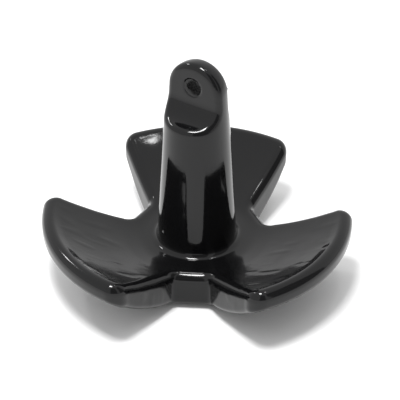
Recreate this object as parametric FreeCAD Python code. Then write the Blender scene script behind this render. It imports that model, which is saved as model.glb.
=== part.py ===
"""Three-fluke river anchor: an iron casting dipped in vinyl.

The frame has +Z up along the shank.  The origin is on the shank's axis at the
underside, where the anchor stands.  One fluke points to +Y, the other two to
-Y on either side of the front notch.  Lengths are in millimetres.

Every surface of the bare iron lies one coat thickness inside the finished
surface, so one function builds both: it takes the depth below the finished
surface, which is 0 for the outside of the vinyl and COAT for the iron.
"""
import FreeCAD, Part
import math
import os
from FreeCAD import Vector

# ---- driving dimensions of the finished (coated) anchor ----
COAT = 1.6                  # vinyl thickness, everywhere

# crown: a thick saucer with three wedge-shaped notches cut from its rim
CROWN_RADIUS = 132.0        # axis to the outer edge of a fluke
PAD_RADIUS = 43.0           # flat discs under and on the hub, where the dish begins
HUB_THICKNESS = 33.5        # crown thickness at the axis
RIM_UNDERSIDE = 47.0        # height of the underside at the rim
RIM_THICKNESS = 20.5        # vertical thickness at the rim
LOWER_BLEND = 32.0          # first arc of the underside beyond the pad
LOWER_LIFT = 14.5           # degrees that it lifts the underside
UPPER_BLEND = 40.0          # the same for the upper face
UPPER_LIFT = 13.0
NOTCH_DEPTH_RADIUS = 61.0   # axis to the straight back wall of a notch
NOTCH_WALL_WIDTH = 29.8     # width of that back wall
NOTCH_FLARE = 34.2          # degrees, each side of a notch against its middle
NOTCH_CORNER = 2.5          # plan radius in the two inner corners of a notch
FLUKE_CORNER = 12.5         # plan radius of the two outer corners of a fluke
TOP_EDGE = 7.5              # rounding of the crown's upper edge
BOTTOM_EDGE = 6.3           # rounding of the crown's lower edge

# shank: a tapered round post with a ball end, flattened on two sides at the eye
SHANK_HEIGHT = 205.5        # underside to the top of the ball end
SHANK_RADIUS = 35.7         # radius of the taper, extended down to the underside
SHANK_TAPER = 0.056        # loss of radius per unit of height
FOOT_FILLET = 5.0           # cove where the shank meets the crown
FRONT_FLAT = 5.5            # axis to the front flat of the tongue
BACK_FLAT = 13.0            # axis to the back flat
FLAT_TURN = 28.0            # degrees, front flat turned from -Y towards -X
FRONT_SCOOP_HEIGHT = 156.0  # lowest point of the scoop below the front flat
FRONT_SCOOP_RADIUS = 17.0   # hollow radius of that scoop
BACK_SCOOP_HEIGHT = 151.0   # the same two for the back flat
BACK_SCOOP_RADIUS = 18.0
TONGUE_EDGE = 4.5           # rounding around each flat and its scoop

# eye: the hole through the tongue for a shackle or a line
EYE_HEIGHT = 184.3
EYE_ASIDE = -0.6            # offset across the tongue, - to the left from the front
EYE_RADIUS = 7.2
EYE_MOUTH = 2.2             # rounding of the eye's two mouths

# where the casting is divided into its named regions
HUB_APOTHEM = 46.0          # axis to the straight root of each fluke
SHANK_SPLIT = 40.0          # height of the joint between crown and shank

FLUKE_AZIMUTHS = {"rear": 90.0, "left": 210.0, "right": 330.0}
NOTCH_AZIMUTHS = [270.0, 30.0, 150.0]
REACH = 200.0               # half size of cutting tools, beyond the whole part
Z_AXIS = Vector(0, 0, 1)
ORIGIN = Vector(0, 0, 0)


def turned(shape, degrees):
    """A copy of the shape turned about the shank's axis."""
    copy = shape.copy()
    copy.rotate(ORIGIN, Z_AXIS, degrees)
    return copy


def prism(points, bottom, top):
    """A straight prism on a closed outline of (x, y) points."""
    corners = [Vector(x, y, bottom) for x, y in points]
    face = Part.Face(Part.makePolygon(corners + corners[:1]))
    return face.extrude(Vector(0, 0, top - bottom))


def dish_arcs(level, rim_level, blend, lift):
    """The two tangent arcs of a dish line, each as (centre radius, height, arc radius).

    The first leaves the pad level and lifts the line by the given angle, and
    the second carries it on to the rim.
    """
    turn = math.radians(lift)
    join_out = PAD_RADIUS + blend * math.sin(turn)
    join_up = level + blend * (1 - math.cos(turn))
    run = CROWN_RADIUS - join_out
    rise = rim_level - join_up
    sweep = math.hypot(run, rise) / (2 * math.sin(math.atan2(rise, run) - turn))
    second_out = join_out - sweep * math.sin(turn)
    second_up = join_up + sweep * math.cos(turn)
    return (PAD_RADIUS, level + blend, blend), (second_out, second_up, sweep)


def on_arc(arc, growth, angle):
    """Point of a dish arc where its line climbs at an angle, in radians."""
    out, up, radius = arc
    grown = radius + growth
    return Vector(out + grown * math.sin(angle), 0, up - grown * math.cos(angle))


def dish_line(level, rim_level, blend, lift, growth, rim):
    """Edges of a dish line from the axis to the rim, and its end at the rim."""
    first, second = dish_arcs(level, rim_level, blend, lift)
    turn = math.radians(lift)
    last = math.asin((rim - second[0]) / (second[2] + growth))
    pad = on_arc(first, growth, 0)
    join = on_arc(first, growth, turn)
    end = on_arc(second, growth, last)
    edges = [
        Part.makeLine(Vector(0, 0, pad.z), pad),
        Part.Arc(pad, on_arc(first, growth, turn / 2), join).toShape(),
        Part.Arc(join, on_arc(second, growth, (turn + last) / 2), end).toShape(),
    ]
    return edges, Vector(0, 0, pad.z), end


def saucer(depth):
    """The whole round saucer, with sharp edges and no notches."""
    rim = CROWN_RADIUS - depth
    rim_top = RIM_UNDERSIDE + RIM_THICKNESS
    lower, low_axis, low_end = dish_line(
        0, RIM_UNDERSIDE, LOWER_BLEND, LOWER_LIFT, -depth, rim)
    upper, high_axis, high_end = dish_line(
        HUB_THICKNESS, rim_top, UPPER_BLEND, UPPER_LIFT, depth, rim)
    sides = [Part.makeLine(low_axis, high_axis), Part.makeLine(low_end, high_end)]
    outline = Part.Wire(Part.__sortEdges__(lower + upper + sides))
    return Part.Face(outline).revolve(ORIGIN, Z_AXIS, 360)


def notch(depth):
    """The wedge removed between two flukes, opening towards +X."""
    flare = math.radians(NOTCH_FLARE)
    back = NOTCH_DEPTH_RADIUS - depth
    # each side moves outwards by the depth, square to itself
    side_shift = depth / math.cos(flare) - depth * math.tan(flare)
    half = NOTCH_WALL_WIDTH / 2 + side_shift
    mouth = half + (REACH - back) * math.tan(flare)
    outline = [(back, -half), (REACH, -mouth), (REACH, mouth), (back, half)]
    return prism(outline, -REACH, REACH)


def is_upright(edge):
    """True for an edge that runs straight up and down."""
    start = edge.Vertexes[0].Point
    end = edge.Vertexes[-1].Point
    level_gap = math.hypot(end.x - start.x, end.y - start.y)
    return level_gap < 0.01 and abs(end.z - start.z) > 5


def from_axis(edge):
    """Distance of an edge's middle from the shank's axis."""
    middle = edge.valueAt((edge.FirstParameter + edge.LastParameter) / 2)
    return math.hypot(middle.x, middle.y)


def faces_of(shape, edge):
    """The two faces that share an edge."""
    return [face for face in shape.Faces if any(edge.isSame(own) for own in face.Edges)]


def is_wall(face):
    """True for a face whose normal is level at its middle."""
    u0, u1, v0, v1 = face.ParameterRange
    return abs(face.normalAt((u0 + u1) / 2, (v0 + v1) / 2).z) < 0.05


def rim_edges(shape, upper):
    """The loop of edges between the crown's walls and its upper or lower face."""
    found = []
    for edge in shape.Edges:
        sides = faces_of(shape, edge)
        if len(sides) != 2 or is_wall(sides[0]) == is_wall(sides[1]):
            continue
        wall = sides[0] if is_wall(sides[0]) else sides[1]
        middle = edge.valueAt((edge.FirstParameter + edge.LastParameter) / 2)
        above = middle.z > wall.CenterOfMass.z
        if above == upper:
            found.append(edge)
    return found


def crown(depth):
    """The crown: notched saucer with all its edges rounded."""
    body = saucer(depth)
    for azimuth in NOTCH_AZIMUTHS:
        body = body.cut(turned(notch(depth), azimuth))
    upright = [edge for edge in body.Edges if is_upright(edge)]
    limit = (NOTCH_DEPTH_RADIUS + CROWN_RADIUS) / 2
    inner = [edge for edge in upright if from_axis(edge) < limit]
    body = body.makeFillet(NOTCH_CORNER + depth, inner)
    upright = [edge for edge in body.Edges if is_upright(edge)]
    outer = [edge for edge in upright if from_axis(edge) > CROWN_RADIUS - depth - 0.01]
    body = body.makeFillet(FLUKE_CORNER - depth, outer)
    body = body.makeFillet(TOP_EDGE - depth, rim_edges(body, True))
    return body.makeFillet(BOTTOM_EDGE - depth, rim_edges(body, False))


def ball_end(depth):
    """Radius of the ball end and of the taper, and the height of the ball's centre."""
    slant = math.cos(math.atan(SHANK_TAPER))
    foot = SHANK_RADIUS - depth / slant
    top = SHANK_HEIGHT - depth
    ball = (foot - SHANK_TAPER * top) * slant / (1 - SHANK_TAPER * slant)
    return foot, ball, top - ball


def post(depth):
    """The round post: a taper that runs without a break into the ball end."""
    foot, ball, centre = ball_end(depth)
    lean = math.atan(SHANK_TAPER)
    join = Vector(ball * math.cos(lean), 0, centre + ball * math.sin(lean))
    half = (lean + math.pi / 2) / 2
    shoulder = Vector(ball * math.cos(half), 0, centre + ball * math.sin(half))
    top = Vector(0, 0, centre + ball)
    start = HUB_THICKNESS / 2
    corner = Vector(foot - SHANK_TAPER * start, 0, start)
    edges = [
        Part.makeLine(Vector(0, 0, start), corner),
        Part.makeLine(corner, join),
        Part.Arc(join, shoulder, top).toShape(),
        Part.makeLine(top, Vector(0, 0, start)),
    ]
    return Part.Face(Part.Wire(edges)).revolve(ORIGIN, Z_AXIS, 360)


def scoop_tool(depth, flat_out, scoop_height, scoop_radius):
    """What is cut away beyond a flat that faces -Y, and the hollow scoop below it."""
    flat = flat_out - depth
    radius = scoop_radius + depth
    centre_out = flat_out + scoop_radius
    centre_up = scoop_height + scoop_radius
    start = Vector(-REACH, -flat, centre_up)
    slope = math.sqrt(0.5) * radius
    middle = Vector(-REACH, -centre_out + slope, centre_up - slope)
    end = Vector(-REACH, -centre_out, centre_up - radius)
    outer_low = Vector(-REACH, -REACH, centre_up - radius)
    outer_high = Vector(-REACH, -REACH, SHANK_HEIGHT + REACH)
    high = Vector(-REACH, -flat, SHANK_HEIGHT + REACH)
    edges = [
        Part.Arc(start, middle, end).toShape(),
        Part.makeLine(end, outer_low),
        Part.makeLine(outer_low, outer_high),
        Part.makeLine(outer_high, high),
        Part.makeLine(high, start),
    ]
    return Part.Face(Part.Wire(edges)).extrude(Vector(2 * REACH, 0, 0))


def is_tool_face(face):
    """True for a flat of the tongue and for the scoop and ledge below it."""
    surface = face.Surface
    if isinstance(surface, Part.Plane):
        return face.CenterOfMass.z > SHANK_SPLIT
    if isinstance(surface, Part.Cylinder):
        return abs(surface.Axis.z) < 0.01
    return False


def tongue_edges(shape):
    """The edges where the flats and scoops meet the round post."""
    found = []
    for edge in shape.Edges:
        sides = faces_of(shape, edge)
        if len(sides) != 2:
            continue
        if is_tool_face(sides[0]) != is_tool_face(sides[1]):
            found.append(edge)
    return found


def shank(depth):
    """The post with its two flats and scoops, before the eye is made."""
    body = post(depth)
    front = scoop_tool(depth, FRONT_FLAT, FRONT_SCOOP_HEIGHT, FRONT_SCOOP_RADIUS)
    back = scoop_tool(depth, BACK_FLAT, BACK_SCOOP_HEIGHT, BACK_SCOOP_RADIUS)
    body = body.cut(turned(front, -FLAT_TURN))
    body = body.cut(turned(back, 180.0 - FLAT_TURN))
    return body.makeFillet(TONGUE_EDGE - depth, tongue_edges(body))


def eye_axis():
    """Direction of the eye, square to the flats and pointing to the front."""
    turn = math.radians(FLAT_TURN)
    return Vector(-math.sin(turn), -math.cos(turn), 0)


def circles(shape, radius, height):
    """The circular edges of one radius whose centres lie at one height."""
    found = []
    for edge in shape.Edges:
        if edge.Degenerated or not isinstance(edge.Curve, Part.Circle):
            continue
        same_radius = abs(edge.Curve.Radius - radius) < 0.01
        if same_radius and abs(edge.Curve.Center.z - height) < 0.01:
            found.append(edge)
    return found


def anchor_shape(depth):
    """The complete anchor at one depth below the finished surface."""
    body = crown(depth).fuse(shank(depth))
    level = HUB_THICKNESS - depth
    foot = ball_end(depth)[0] - SHANK_TAPER * level
    body = body.makeFillet(FOOT_FILLET + depth, circles(body, foot, level))
    axis = eye_axis()
    across = Z_AXIS.cross(axis)
    start = across * EYE_ASIDE + Z_AXIS * EYE_HEIGHT - axis * REACH
    drill = Part.makeCylinder(EYE_RADIUS + depth, 2 * REACH, start, axis)
    body = body.cut(drill)
    return body.makeFillet(EYE_MOUTH - depth, circles(body, EYE_RADIUS + depth, EYE_HEIGHT))


def hub_tool():
    """A three-sided prism that holds the hub, with a side at each fluke's root."""
    reach = 2 * HUB_APOTHEM
    points = []
    for azimuth in NOTCH_AZIMUTHS:
        angle = math.radians(azimuth)
        points.append((reach * math.cos(angle), reach * math.sin(angle)))
    return prism(points, -REACH, SHANK_SPLIT)


def fluke_tool(azimuth):
    """A block that holds one fluke, from its straight root outwards."""
    side = REACH
    points = [(HUB_APOTHEM, -side), (REACH, -side), (REACH, side), (HUB_APOTHEM, side)]
    return turned(prism(points, -REACH, SHANK_HEIGHT), azimuth)


def build_parts():
    """Every node of the anchor, by name."""
    outside = anchor_shape(0.0)
    iron = anchor_shape(COAT)
    reach_of_post = Part.makeCylinder(HUB_APOTHEM, REACH * 2, Vector(0, 0, SHANK_SPLIT))
    parts = {}
    parts["vinyl_coat"] = outside.cut(iron)
    parts["iron_shank"] = iron.common(reach_of_post)
    parts["iron_hub"] = iron.common(hub_tool())
    for name, azimuth in FLUKE_AZIMUTHS.items():
        parts["iron_fluke_" + name] = iron.common(fluke_tool(azimuth))
    return parts


os.makedirs("parts", exist_ok=True)
for name, shape in build_parts().items():
    solids = shape.Solids
    solid = solids[0]
    print(name, len(solids), solid.isValid(), round(solid.Volume / 1000, 2), "cm3")
    solid.exportStep(os.path.join("parts", name + ".step"))
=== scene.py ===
"""Vinyl-dipped river anchor: the looks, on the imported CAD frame.

The visible skin is grown from the CAD coat.  The coat's outer face is remeshed
into even quads, and each vertex is then slid onto a smooth mathematical
surface with the same dimensions as the CAD, plus the small unevenness of a
sand casting under a dip coat.  Lengths in the shape functions are millimetres,
and everything handed to Blender is in metres.
"""
import bmesh
import bpy
import math
import numpy as np
from mathutils import Matrix, Vector


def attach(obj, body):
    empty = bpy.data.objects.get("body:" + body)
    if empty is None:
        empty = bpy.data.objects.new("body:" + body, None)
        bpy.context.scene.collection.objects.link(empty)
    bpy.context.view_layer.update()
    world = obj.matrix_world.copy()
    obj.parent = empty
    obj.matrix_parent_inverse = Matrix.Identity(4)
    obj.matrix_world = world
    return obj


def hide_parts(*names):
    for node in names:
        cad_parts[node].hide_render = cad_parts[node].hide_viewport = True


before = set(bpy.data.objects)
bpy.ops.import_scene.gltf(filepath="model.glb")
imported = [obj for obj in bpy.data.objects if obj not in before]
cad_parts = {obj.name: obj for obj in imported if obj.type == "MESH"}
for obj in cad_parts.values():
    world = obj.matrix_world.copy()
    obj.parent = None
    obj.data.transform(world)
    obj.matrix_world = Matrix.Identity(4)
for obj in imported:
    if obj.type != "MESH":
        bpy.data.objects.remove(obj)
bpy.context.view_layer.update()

MM = 0.001

# ---- the anchor's dimensions, the same as the CAD's, in millimetres ----
CROWN_RADIUS = 132.0
PAD_RADIUS = 43.0
HUB_THICKNESS = 33.5
RIM_UNDERSIDE = 47.0
RIM_THICKNESS = 20.5
LOWER_BLEND = 32.0
LOWER_LIFT = math.radians(14.5)
UPPER_BLEND = 40.0
UPPER_LIFT = math.radians(13.0)
NOTCH_DEPTH_RADIUS = 61.0
NOTCH_WALL_WIDTH = 29.8
NOTCH_FLARE = math.radians(34.2)
NOTCH_CORNER = 2.5
FLUKE_CORNER = 12.5
TOP_EDGE = 7.5
BOTTOM_EDGE = 6.3
SHANK_HEIGHT = 205.5
SHANK_RADIUS = 35.7
SHANK_TAPER = 0.056
FOOT_FILLET = 5.0
FRONT_FLAT = 5.5
BACK_FLAT = 13.0
FLAT_TURN = math.radians(28.0)
FRONT_SCOOP_HEIGHT = 156.0
FRONT_SCOOP_RADIUS = 17.0
BACK_SCOOP_HEIGHT = 151.0
BACK_SCOOP_RADIUS = 18.0
TONGUE_EDGE = 4.5
EYE_HEIGHT = 184.3
EYE_ASIDE = -0.6
EYE_RADIUS = 7.2
EYE_MOUTH = 2.2

# ---- the visible skin, in millimetres ----
SKIN_VOXEL = 1.42                   # size of the skin's quads
BROAD_HEIGHT = 0.15                 # slow unevenness of the whole casting
BROAD_LENGTH = 62.0
RIPPLE_HEIGHT = 0.045               # finer waves in the tops and undersides of the flukes
RIPPLE_LENGTH = 17.0
RUN_HEIGHT = 0.13                   # runs in the vinyl on the front flukes
RUN_LENGTH = 19.0
SLUMP_HEIGHT = 0.8                  # vinyl thicker towards the hub and thinner towards the rim
DISH_MARKS_FROM = 62.0              # the flukes' marks lie between these radii
DISH_MARKS_TO = 124.0
NIB_HEIGHT = 0.9
NIB_PLACE = (25.2, -2.0, 184.0)     # a pip of vinyl on the right side of the tongue
RIDGE_HEIGHT = 0.05                 # fine level ridges beside the front flat
RIDGES_FROM = 160.0

# ---- the torn film at the eye, in millimetres ----
FILM_COLUMNS = 93
FILM_ROWS = 4
FILM_RAGS = 24                      # how many torn points there are along it
FILM_OVERLAP = 1.3                  # how far its root reaches outside the bore
FILM_DEPTH = 0.75                   # how far its root lies behind the front flat
FILM_THICKNESS = 0.7

# ---- where the vinyl is dull and pitted: a ball about the middle of the eye's bore ----
EYE_MASK_CENTRE = (1.8 * MM, 3.3 * MM, EYE_HEIGHT * MM)
EYE_MASK_INNER = 8.8                # in millimetres
EYE_MASK_OUTER = 11.8

# ---- the studio, in metres ----
FLOOR_REACH = 6.0
FLOOR_DROP = 0.0002                 # keeps the floor off the anchor's flat underside
TENT_LEVEL = 1.02
SCREEN_REACH = 2.6
SCREEN_FOOT = 0.08
SCREEN_LEVEL = 0.3
SCREEN_TOP = 56                     # elevation of the screens' upper edge, in degrees


# ---------------------------------------------------------------- the shape
def round_outer(a, b, radius):
    """Distance to what lies inside both a and b, with the shared edge rounded."""
    corner = np.hypot(np.maximum(a + radius, 0), np.maximum(b + radius, 0)) - radius
    return np.minimum(np.maximum(a, b), -radius) + np.maximum(corner + radius, 0)


def round_inner(a, b, radius):
    """Distance to what lies inside a or b, with a cove of that radius between."""
    return -round_outer(-a, -b, radius)


def round_corner(a, b, cosine, radius):
    """As round_outer, for two faces whose outward normals meet at a given cosine."""
    grown_a = a + radius
    grown_b = b + radius
    sine = np.sqrt(np.maximum(1 - cosine ** 2, 1e-4))
    cross = np.sqrt(np.maximum(grown_a ** 2 + grown_b ** 2 - 2 * grown_a * grown_b * cosine, 0))
    at_edge = (grown_a - grown_b * cosine > 0) & (grown_b - grown_a * cosine > 0)
    return np.where(at_edge, cross / sine, np.maximum(grown_a, grown_b)) - radius


def dish(radius, level, rim_level, blend, lift):
    """Height and slope of a dish line at a distance from the axis."""
    join_out = PAD_RADIUS + blend * math.sin(lift)
    join_up = level + blend * (1 - math.cos(lift))
    run = CROWN_RADIUS - join_out
    rise = rim_level - join_up
    sweep = math.hypot(run, rise) / (2 * math.sin(math.atan2(rise, run) - lift))
    first = np.clip(radius - PAD_RADIUS, 0, blend * math.sin(lift))
    second = np.clip(radius - join_out + sweep * math.sin(lift), 0, 0.95 * sweep)
    first_up = level + blend - np.sqrt(blend ** 2 - first ** 2)
    second_up = join_up + sweep * math.cos(lift) - np.sqrt(sweep ** 2 - second ** 2)
    past = radius > join_out
    height = np.where(past, second_up, first_up)
    slope = np.where(past, second / np.sqrt(sweep ** 2 - second ** 2),
                     first / np.sqrt(blend ** 2 - first ** 2))
    return height, slope


def plan(x, y):
    """Signed distance to the crown's outline, seen from above."""
    third = 2 * math.pi / 3
    front = -math.pi / 2
    azimuth = np.arctan2(y, x) - front
    azimuth -= third * np.round(azimuth / third)
    radius = np.hypot(x, y)
    along = radius * np.cos(azimuth) - NOTCH_DEPTH_RADIUS
    across = np.abs(radius * np.sin(azimuth)) - NOTCH_WALL_WIDTH / 2
    side = along * math.sin(NOTCH_FLARE) - across * math.cos(NOTCH_FLARE)
    outside_notch = round_inner(along, side, NOTCH_CORNER)
    return round_outer(radius - CROWN_RADIUS, outside_notch, FLUKE_CORNER)


def crown(x, y, z):
    """Signed distance to the notched saucer with its rounded edges."""
    radius = np.maximum(np.hypot(x, y), 1e-6)
    wall = plan(x, y)
    step = 0.5
    grow = step / radius
    wall_outward = plan(x * (1 + grow), y * (1 + grow))
    wall_inward = plan(x * (1 - grow), y * (1 - grow))
    lean = (wall_outward - wall_inward) / (2 * step)
    rim_top = RIM_UNDERSIDE + RIM_THICKNESS
    top, top_slope = dish(radius, HUB_THICKNESS, rim_top, UPPER_BLEND, UPPER_LIFT)
    low, low_slope = dish(radius, 0.0, RIM_UNDERSIDE, LOWER_BLEND, LOWER_LIFT)
    top_length = np.sqrt(1 + top_slope ** 2)
    low_length = np.sqrt(1 + low_slope ** 2)
    above = (z - top) / top_length
    below = (low - z) / low_length
    upper = round_corner(wall, above, -lean * top_slope / top_length, TOP_EDGE)
    lower = round_corner(wall, below, lean * low_slope / low_length, BOTTOM_EDGE)
    return np.maximum(upper, lower)


def post(x, y, z):
    """Signed distance to the tapered post with its ball end."""
    slant = math.cos(math.atan(SHANK_TAPER))
    sine = math.sin(math.atan(SHANK_TAPER))
    ball = (SHANK_RADIUS - SHANK_TAPER * SHANK_HEIGHT) * slant / (1 - SHANK_TAPER * slant)
    centre = SHANK_HEIGHT - ball
    radius = np.hypot(x, y)
    cone = (radius - SHANK_RADIUS + SHANK_TAPER * z) * slant
    over = (z - centre) * slant - radius * sine > 0
    return np.where(over, np.hypot(radius, z - centre) - ball, cone)


def tongue_axes(x, y):
    """Distance along the eye's axis, towards the front flat, and across it."""
    along = -x * math.sin(FLAT_TURN) - y * math.cos(FLAT_TURN)
    across = x * math.cos(FLAT_TURN) - y * math.sin(FLAT_TURN)
    return along, across


def smooth_surface(x, y, z):
    """Signed distance to the anchor without its casting marks."""
    along, across = tongue_axes(x, y)
    front = round_outer(FRONT_FLAT - along, FRONT_SCOOP_HEIGHT - z, FRONT_SCOOP_RADIUS)
    back = round_outer(BACK_FLAT + along, BACK_SCOOP_HEIGHT - z, BACK_SCOOP_RADIUS)
    shank = round_outer(post(x, y, z), -front, TONGUE_EDGE)
    shank = round_outer(shank, -back, TONGUE_EDGE)
    shank = np.maximum(shank, HUB_THICKNESS / 2 - z)
    body = round_inner(crown(x, y, z), shank, FOOT_FILLET)
    eye = EYE_RADIUS - np.hypot(across - EYE_ASIDE, z - EYE_HEIGHT)
    return round_outer(body, eye, EYE_MOUTH)


def spot(points, centre, spread):
    """A smooth bump of height one at a place, with a spread along each axis."""
    away = (points - np.array(centre)) / np.array(spread)
    return np.exp(-(away ** 2).sum(axis=1))


def swell(points, wavelength, seed, waves=28):
    """Smooth seeded unevenness, mostly between -1 and 1, with one main wavelength."""
    random = np.random.default_rng(seed)
    directions = random.normal(size=(waves, 3))
    directions /= np.linalg.norm(directions, axis=1, keepdims=True)
    lengths = wavelength * random.uniform(0.75, 1.5, waves)
    phases = random.uniform(0, 2 * math.pi, waves)
    total = np.zeros(len(points))
    for direction, length, phase in zip(directions, lengths, phases):
        total += np.sin(points @ direction * (2 * math.pi / length) + phase)
    return total / math.sqrt(waves)


def fade(distance, width):
    """Rises evenly from 0 to 1 over a width, and is held beyond."""
    return np.clip(distance / width, 0, 1)


def dish_marks(points):
    """Ripples, runs and slumped vinyl on the flukes."""
    x, y, z = points.T
    radius = np.hypot(x, y)
    on_dish = fade(radius - DISH_MARKS_FROM, 20) * fade(DISH_MARKS_TO - radius, 8)
    low_front = on_dish * fade(10 - y, 40)
    ripple = RIPPLE_HEIGHT * on_dish * swell(points, RIPPLE_LENGTH, 23)
    stretched = points @ np.diag([0.55, 1.7, 1.0])
    runs = RUN_HEIGHT * low_front * np.maximum(swell(stretched, RUN_LENGTH, 31) - 0.35, 0)
    slump = SLUMP_HEIGHT * low_front * np.clip((96 - radius) / 28, -1, 1)
    return ripple + runs + slump


def tongue_marks(points):
    """The pip of vinyl and the fine ridges on the flattened top of the shank."""
    x, y, z = points.T
    along, across = tongue_axes(x, y)
    nib = NIB_HEIGHT * spot(points, NIB_PLACE, (1.0, 1.0, 1.0))
    on_edge = fade(across - 15, 4) * fade(along - 1, 3) * fade(z - RIDGES_FROM, 8)
    ridges = RIDGE_HEIGHT * on_edge * np.sin(z * 2.4 + 2 * np.sin(z * 0.7))
    return nib + ridges


def relief(points):
    """Height of the casting's unevenness above the smooth surface."""
    x, y, z = points.T
    off_pad = np.maximum(fade(z, 4), fade(np.hypot(x, y) - PAD_RADIUS, 12))
    broad = BROAD_HEIGHT * swell(points, BROAD_LENGTH, 11)
    return off_pad * (broad + dish_marks(points)) + tongue_marks(points)


def surface(points):
    """Signed distance to the finished surface, casting marks and all."""
    x, y, z = points.T
    return smooth_surface(x, y, z) - relief(points)


def gradient(points, step=0.05):
    """How the distance to the finished surface grows, as a vector pointing outward."""
    result = np.empty_like(points)
    for axis in range(3):
        offset = np.zeros(3)
        offset[axis] = step
        result[:, axis] = (surface(points + offset) - surface(points - offset)) / (2 * step)
    return result


def settle(points, rounds, reach=1.0):
    """Moves points onto the finished surface, by at most the reach in each round."""
    for _ in range(rounds):
        slope = gradient(points)
        steep = np.maximum((slope ** 2).sum(axis=1), 0.05)
        move = -(surface(points) / steep)[:, None] * slope
        length = np.linalg.norm(move, axis=1, keepdims=True)
        points = points + move * np.minimum(1, reach / np.maximum(length, 1e-9))
    return points


def relax(points, edges, rounds):
    """Evens out the spacing of a mesh's vertices without leaving the surface."""
    first, second = edges.T
    count = np.bincount(first, minlength=len(points)) + np.bincount(second, minlength=len(points))
    for _ in range(rounds):
        total = np.zeros_like(points)
        for axis in range(3):
            total[:, axis] += np.bincount(first, points[second, axis], len(points))
            total[:, axis] += np.bincount(second, points[first, axis], len(points))
        points = settle(points + 0.6 * (total / count[:, None] - points), 1)
    return points


# ---------------------------------------------------------------- mesh tools
def new_object(name, mesh):
    """A linked object for a mesh."""
    result = bpy.data.objects.new(name, mesh)
    bpy.context.scene.collection.objects.link(result)
    return result


def vertex_array(mesh):
    """The mesh's vertices as an array, in millimetres."""
    flat = np.empty(len(mesh.vertices) * 3)
    mesh.vertices.foreach_get("co", flat)
    return flat.reshape(-1, 3) / MM


def grid_faces(columns, rows):
    """Quads that join a grid of vertices listed column by column."""
    faces = []
    for column in range(columns - 1):
        for row in range(rows - 1):
            first = column * rows + row
            faces.append((first, first + 1, first + rows + 1, first + rows))
    return faces


def outer_shell(node):
    """A copy of a CAD node's mesh without the shell that faces the hollow inside."""
    work = bmesh.new()
    work.from_mesh(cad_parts[node].data)
    bmesh.ops.remove_doubles(work, verts=work.verts, dist=1e-6)
    work.verts.ensure_lookup_table()
    start = max(work.verts, key=lambda vert: vert.co.z)
    seen = {start}
    queue = [start]
    while queue:
        vert = queue.pop()
        for edge in vert.link_edges:
            other = edge.other_vert(vert)
            if other not in seen:
                seen.add(other)
                queue.append(other)
    inside = [vert for vert in work.verts if vert not in seen]
    bmesh.ops.delete(work, geom=inside, context="VERTS")
    mesh = bpy.data.meshes.new(node + "_outer")
    work.to_mesh(mesh)
    work.free()
    return mesh


def remeshed(mesh, voxel):
    """The mesh rebuilt from even quads of one size, in metres."""
    rough = new_object("rough", mesh)
    modifier = rough.modifiers.new("remesh", "REMESH")
    modifier.mode = "VOXEL"
    modifier.voxel_size = voxel
    graph = bpy.context.evaluated_depsgraph_get()
    result = bpy.data.meshes.new_from_object(rough.evaluated_get(graph))
    bpy.data.objects.remove(rough)
    return result


def vinyl_skin():
    """The dip coat's outer surface as a fine, smooth mesh."""
    mesh = remeshed(outer_shell("vinyl_coat"), SKIN_VOXEL * MM)
    edges = np.empty(len(mesh.edges) * 2, dtype=np.int32)
    mesh.edges.foreach_get("vertices", edges)
    points = settle(vertex_array(mesh), 3)
    points = relax(points, edges.reshape(-1, 2), 8)
    points = settle(points, 2)
    mesh.vertices.foreach_set("co", (points * MM).ravel())
    mesh.shade_smooth()
    mesh.update()
    return new_object("vinyl_skin", mesh)


def eye_frame():
    """The eye's axis towards the front, and the level direction across it."""
    out = np.array([-math.sin(FLAT_TURN), -math.cos(FLAT_TURN), 0.0])
    across = np.array([math.cos(FLAT_TURN), -math.sin(FLAT_TURN), 0.0])
    return out, across


def eye_film():
    """The torn web of vinyl left round part of the eye's front mouth by dipping."""
    out, across = eye_frame()
    random = np.random.default_rng(7)
    turns = np.linspace(math.radians(70), math.radians(300), FILM_COLUMNS)
    progress = (turns - turns[0]) / (turns[-1] - turns[0])
    tears = np.linspace(0, 1, FILM_RAGS)
    rags = np.interp(progress, tears, random.uniform(0.0, 1.0, FILM_RAGS))
    middle = np.clip(np.sin(progress * math.pi), 0, 1)
    reach = (0.5 + 2.6 * rags) * np.sqrt(middle) + 0.05
    corners = []
    for turn, length, rag in zip(turns, reach, rags):
        for step in np.linspace(0, 1, FILM_ROWS):
            inward = EYE_RADIUS + FILM_OVERLAP - step * (length + FILM_OVERLAP)
            lift = FRONT_FLAT - FILM_DEPTH - step * (0.4 + 0.9 * rag)
            sideways = inward * math.cos(turn) + EYE_ASIDE
            height = EYE_HEIGHT + inward * math.sin(turn)
            place = out * lift + across * sideways + np.array([0, 0, height])
            corners.append(tuple(place * MM))
    mesh = bpy.data.meshes.new("eye_film")
    mesh.from_pydata(corners, [], grid_faces(FILM_COLUMNS, FILM_ROWS))
    film = new_object("eye_film", mesh)
    thicken = film.modifiers.new("thicken", "SOLIDIFY")
    thicken.thickness = FILM_THICKNESS * MM
    thicken.offset = 0.0
    smooth = film.modifiers.new("smooth", "SUBSURF")
    smooth.levels = 1
    smooth.render_levels = 1
    mesh.shade_smooth()
    return film


# ---------------------------------------------------------------- materials
def new_material(name):
    """A material with its node tree and its shader."""
    material = bpy.data.materials.new(name)
    material.use_nodes = True
    return material, material.node_tree, material.node_tree.nodes["Principled BSDF"]


def add_noise(tree, scale, detail):
    """A noise pattern fixed to the object."""
    place = tree.nodes.new("ShaderNodeTexCoord")
    noise = tree.nodes.new("ShaderNodeTexNoise")
    noise.inputs["Scale"].default_value = scale
    noise.inputs["Detail"].default_value = detail
    tree.links.new(place.outputs["Object"], noise.inputs["Vector"])
    return noise.outputs["Fac"]


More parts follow.
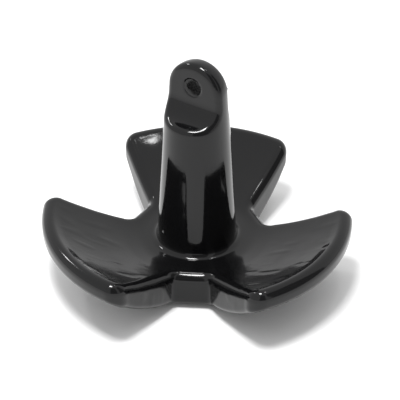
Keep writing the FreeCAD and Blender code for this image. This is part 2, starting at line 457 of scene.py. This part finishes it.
def add_range(tree, value, start, end):
    """A value between two limits carried to another pair, each given as (from, to)."""
    spread = tree.nodes.new("ShaderNodeMapRange")
    spread.inputs["From Min"].default_value = start[0]
    spread.inputs["To Min"].default_value = start[1]
    spread.inputs["From Max"].default_value = end[0]
    spread.inputs["To Max"].default_value = end[1]
    tree.links.new(value, spread.inputs["Value"])
    return spread.outputs["Result"]


def add_bump(tree, height, strength, distance):
    """A bump node that reads a height pattern."""
    bump = tree.nodes.new("ShaderNodeBump")
    bump.inputs["Strength"].default_value = strength
    bump.inputs["Distance"].default_value = distance
    tree.links.new(height, bump.inputs["Height"])
    return bump


def add_eye_mask(tree):
    """1 in a ball that holds most of the eye's bore, fading to 0 in a larger one."""
    place = tree.nodes.new("ShaderNodeTexCoord")
    distance = tree.nodes.new("ShaderNodeVectorMath")
    distance.operation = "DISTANCE"
    distance.inputs[1].default_value = EYE_MASK_CENTRE
    tree.links.new(place.outputs["Object"], distance.inputs[0])
    inner = (EYE_MASK_INNER * MM, 1.0)
    outer = (EYE_MASK_OUTER * MM, 0.0)
    return add_range(tree, distance.outputs["Value"], inner, outer)


def vinyl_roughness(tree, near_eye):
    """Patchy gloss, much duller in the eye, where the vinyl is rough."""
    gloss = add_range(tree, add_noise(tree, 22.0, 5.0), (0.35, 0.07), (0.7, 0.13))
    duller = tree.nodes.new("ShaderNodeMath")
    duller.operation = "MULTIPLY_ADD"
    duller.inputs[1].default_value = 0.55
    tree.links.new(near_eye, duller.inputs[0])
    tree.links.new(gloss, duller.inputs[2])
    return duller.outputs["Value"]


def vinyl_normal(tree, near_eye):
    """A faint orange peel all over, with deep pits in the eye."""
    peel = add_bump(tree, add_noise(tree, 260.0, 2.0), 0.25, 0.00012)
    pitted = tree.nodes.new("ShaderNodeMath")
    pitted.operation = "MULTIPLY"
    tree.links.new(add_noise(tree, 520.0, 2.0), pitted.inputs[0])
    tree.links.new(near_eye, pitted.inputs[1])
    pits = add_bump(tree, pitted.outputs["Value"], 1.0, 0.0016)
    tree.links.new(peel.outputs["Normal"], pits.inputs["Normal"])
    return pits.outputs["Normal"]


def vinyl_material():
    """Glossy black dip-moulded vinyl."""
    material, tree, shader = new_material("gloss_black_vinyl")
    shader.inputs["Base Color"].default_value = (0.003, 0.003, 0.0033, 1)
    shader.inputs["IOR"].default_value = 1.385
    near_eye = add_eye_mask(tree)
    tree.links.new(vinyl_roughness(tree, near_eye), shader.inputs["Roughness"])
    tree.links.new(vinyl_normal(tree, near_eye), shader.inputs["Normal"])
    return material


def iron_material():
    """Bare sand-cast iron, for the casting inside the coat."""
    material, tree, shader = new_material("as_cast_iron")
    shader.inputs["Metallic"].default_value = 1.0
    shader.inputs["Roughness"].default_value = 0.62
    grain = add_noise(tree, 320.0, 6.0)
    tone = tree.nodes.new("ShaderNodeValToRGB")
    tone.color_ramp.elements[0].color = (0.07, 0.066, 0.062, 1)
    tone.color_ramp.elements[1].color = (0.19, 0.185, 0.18, 1)
    tree.links.new(grain, tone.inputs["Fac"])
    tree.links.new(tone.outputs["Color"], shader.inputs["Base Color"])
    bump = add_bump(tree, grain, 0.6, 0.0004)
    tree.links.new(bump.outputs["Normal"], shader.inputs["Normal"])
    return material


def floor_material():
    """Plain white studio floor."""
    material, _, shader = new_material("studio_white")
    shader.inputs["Base Color"].default_value = (0.9, 0.9, 0.9, 1)
    shader.inputs["Roughness"].default_value = 0.8
    shader.inputs["Specular IOR Level"].default_value = 0.1
    return material


def glow_material(name, level):
    """A plain surface of one brightness."""
    material, tree, shader = new_material(name)
    tree.nodes.remove(shader)
    glow = tree.nodes.new("ShaderNodeEmission")
    glow.inputs["Color"].default_value = (1, 1, 1, 1)
    glow.inputs["Strength"].default_value = level
    result = tree.nodes["Material Output"]
    tree.links.new(glow.outputs["Emission"], result.inputs["Surface"])
    return material


# ---------------------------------------------------------------- the studio
def add_floor():
    """A large plain floor under the anchor."""
    mesh = bpy.data.meshes.new("floor")
    corners = []
    for x, y in ((-1, -1), (1, -1), (1, 1), (-1, 1)):
        corners.append((x * FLOOR_REACH, y * FLOOR_REACH, -FLOOR_DROP))
    mesh.from_pydata(corners, [], [(0, 1, 2, 3)])
    result = new_object("floor", mesh)
    mesh.materials.append(floor_material())


def add_panel(name, place, target, size, power):
    """A soft rectangular light that faces a target."""
    light = bpy.data.lights.new(name, "AREA")
    light.shape = "RECTANGLE"
    light.size, light.size_y = size
    light.energy = power
    lamp = bpy.data.objects.new(name, light)
    bpy.context.scene.collection.objects.link(lamp)
    lamp.location = place
    aim = Vector(target) - Vector(place)
    lamp.rotation_mode = "QUATERNION"
    lamp.rotation_quaternion = aim.to_track_quat("-Z", "Y")


def add_world(level):
    """Even white surroundings, as in a light tent."""
    world = bpy.data.worlds.new("tent")
    bpy.context.scene.world = world
    world.use_nodes = True
    background = world.node_tree.nodes["Background"]
    background.inputs["Color"].default_value = (1, 1, 1, 1)
    background.inputs["Strength"].default_value = level


def add_screen(name, azimuths):
    """A curved screen round the anchor, between two azimuths (0 is the front, + right)."""
    corners = []
    elevation_steps = np.radians(np.linspace(0, SCREEN_TOP, 5))
    azimuth_steps = np.radians(np.linspace(azimuths[0], azimuths[1], 9))
    for elevation in elevation_steps:
        for azimuth in azimuth_steps:
            flat = SCREEN_REACH * math.cos(elevation)
            height = SCREEN_FOOT + SCREEN_REACH * math.sin(elevation)
            corners.append((flat * math.sin(azimuth), -flat * math.cos(azimuth), height))
    mesh = bpy.data.meshes.new(name)
    mesh.from_pydata(corners, [], grid_faces(len(elevation_steps), len(azimuth_steps)))
    mesh.materials.append(glow_material(name, SCREEN_LEVEL))
    new_object(name, mesh)


def add_lights():
    """Grey screens in front and at the right, a softbox overhead, and two small lamps."""
    centre = (0, 0, 0.05)
    add_screen("room_front", (-8, 35))
    add_screen("room_right", (53, 98))
    add_panel("front_top", (-0.20, -0.40, 1.8), centre, (0.42, 0.42), 28)
    add_panel("ceiling", (0.40, 0.20, 1.5), centre, (0.10, 0.10), 1.0)
    add_panel("back_lamp", (-1.02, 0.59, 1.15), centre, (0.14, 0.14), 2.4)


def add_camera():
    """The camera, at the angle from which the anchor is seen."""
    turn = math.radians(4.5)
    elevation = math.radians(35.86)
    distance = 1.597
    aside = 0.0026
    height = 0.0695
    target = Vector((aside * math.cos(turn), aside * math.sin(turn), height))
    back = Vector((math.sin(turn) * math.cos(elevation),
                   -math.cos(turn) * math.cos(elevation),
                   math.sin(elevation)))
    data = bpy.data.cameras.new("camera")
    data.sensor_width = 36.0
    data.lens = 169.7
    camera = bpy.data.objects.new("camera", data)
    bpy.context.scene.collection.objects.link(camera)
    camera.location = target + back * distance
    roll = Matrix.Rotation(math.radians(-0.05), 4, "Z")
    facing = (-back).to_track_quat("-Z", "Y").to_matrix().to_4x4() @ roll
    camera.rotation_mode = "QUATERNION"
    camera.rotation_quaternion = facing.to_quaternion()
    data.clip_start = 0.05
    data.clip_end = 30.0
    bpy.context.scene.camera = camera


# ---------------------------------------------------------------- assembly
def build():
    """Everything in the scene."""
    vinyl = vinyl_material()
    skin = vinyl_skin()
    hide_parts("vinyl_coat")
    for piece in (skin, eye_film()):
        piece.data.materials.clear()
        piece.data.materials.append(vinyl)
        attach(piece, "root")
    iron = iron_material()
    for name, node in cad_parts.items():
        if name.startswith("iron"):
            for index in range(len(node.material_slots)):
                node.material_slots[index].material = iron
    add_floor()
    add_world(TENT_LEVEL)
    add_lights()
    add_camera()
    settings = bpy.context.scene.view_settings
    settings.view_transform = "Standard"


build()
